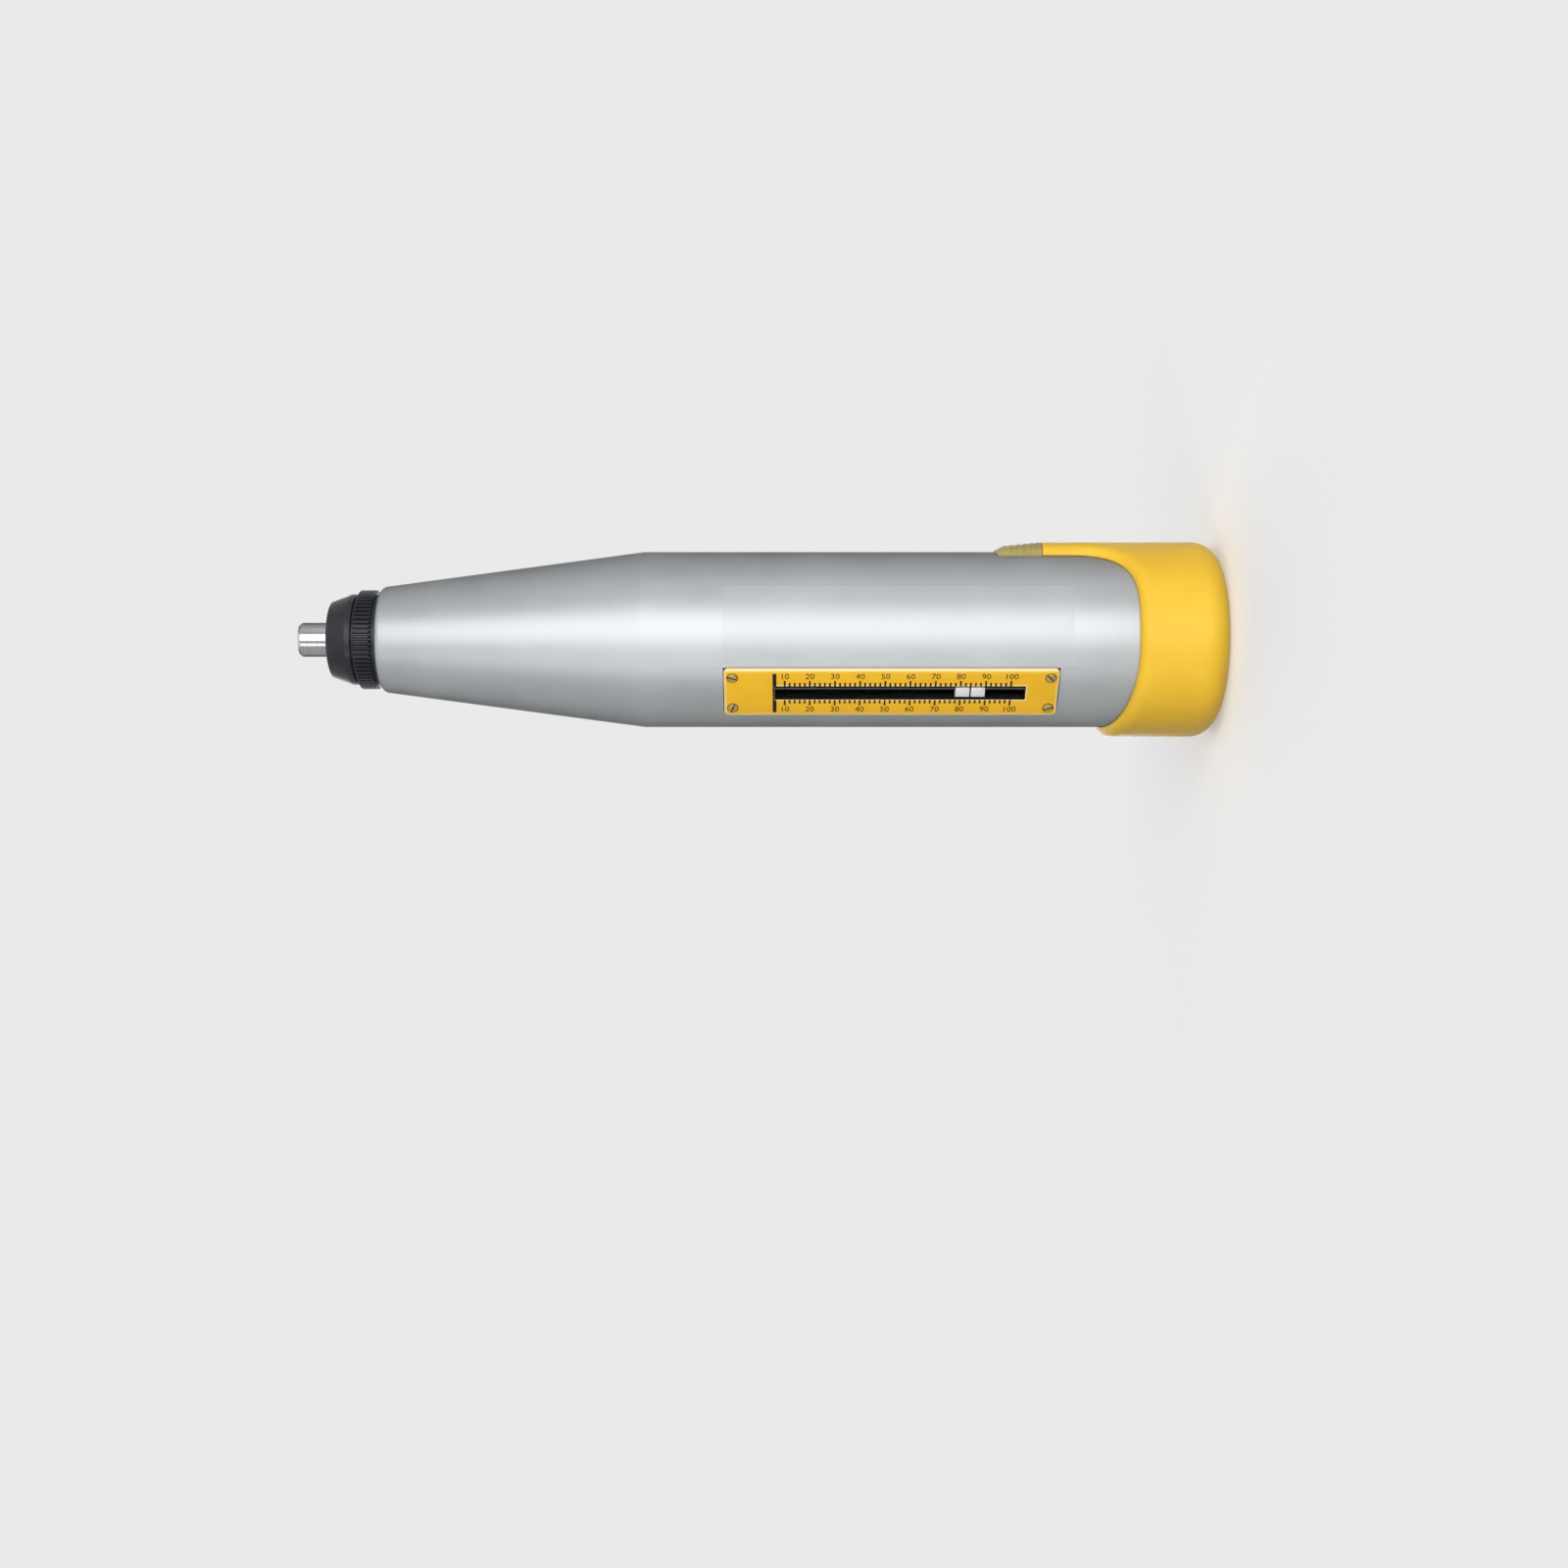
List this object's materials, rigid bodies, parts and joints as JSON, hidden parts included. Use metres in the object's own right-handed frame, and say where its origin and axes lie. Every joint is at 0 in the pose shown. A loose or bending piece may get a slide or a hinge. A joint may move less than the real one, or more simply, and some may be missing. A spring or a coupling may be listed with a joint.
{
  "type": "concrete test hammer",
  "caption": "Hand-held rebound hammer for concrete: tapered metal barrel, steel plunger, flat scale with a sliding rider, and a rear cap with a lock button on its tongue.",
  "frame": {"origin": "centre of the rear cap's flat end face", "axes": "+Z along the impact axis from the rear cap to the plunger's tip, -Y through the middle of the scale"},
  "size_m": [0.06, 0.06, 0.283],
  "materials": {
    "silver_barrel": "fine satin, anodised",
    "black_cap": "smooth, matte",
    "felt": "pressed wool felt",
    "steel": "turned",
    "spring_steel": "drawn wire",
    "polished_steel": "ground and polished",
    "aluminium": "turned",
    "brass": "milled",
    "yellow_plate": "printed, with a light rounded rim",
    "yellow_cap": "satin moulded plastic",
    "yellow_button": "moulded, with grip grooves",
    "white_rider": "painted white"
  },
  "bodies": {
    "barrel": {"casing": "silver_barrel", "front_cap": "black_cap", "felt_seal": "felt", "split_ring": "steel", "guide_sleeve": "steel", "impact_spring": "spring_steel", "scale_plate": "yellow_plate", "plate_screws": "steel", "rear_cap": "yellow_cap", "end_plug": "aluminium", "trip_screw": "steel", "trip_lock_nut": "steel", "compression_spring": "spring_steel", "rider_rod": "steel", "rod_blocks": "brass", "button_spring": "spring_steel"},
    "plunger_train": {"plunger": "polished_steel", "buffer_spring": "spring_steel", "guide_bar": "polished_steel", "guide_disk": "steel", "pawl_pin": "steel", "pawl_spring": "spring_steel"},
    "hook": {"pawl": "steel"},
    "mass": {"hammer_mass": "steel"},
    "index": {"rider": "white_rider", "rider_strip": "spring_steel"},
    "button": {"lock_button": "yellow_button", "lock_pin": "steel"}
  },
  "joints": [
    {"name": "plunger_slide", "type": "slide", "parent": "barrel", "child": "plunger_train", "axis": [0, 0, 1], "range_m": [0, 0.075], "deforming": ["compression_spring"]},
    {"name": "hammer_slide", "type": "slide", "parent": "barrel", "child": "mass", "axis": [0, 0, 1], "range_m": [0, 0.075], "deforming": ["impact_spring"]},
    {"name": "pawl_hinge", "type": "hinge", "parent": "plunger_train", "child": "hook", "pos_m": [0, 0.0128, 0.0452], "axis": [-1, 0, 0], "range_deg": [0, 16], "stiffness_Nm_per_rad": 0.03, "springref_deg": -17.19, "deforming": ["pawl_spring"]},
    {"name": "rider_slide", "type": "slide", "parent": "barrel", "child": "index", "axis": [0, 0, 1], "range_m": [-0.012, 0.054]},
    {"name": "button_press", "type": "slide", "parent": "barrel", "child": "button", "axis": [-0.866, -0.5, 0], "range_m": [0, 0.0016], "stiffness_N_per_m": 800, "springref_m": -0.002, "deforming": ["button_spring"]}
  ],
  "couplings": [
    {"joint": "hammer_slide", "follows": "plunger_slide", "ratio": 1}
  ]
}
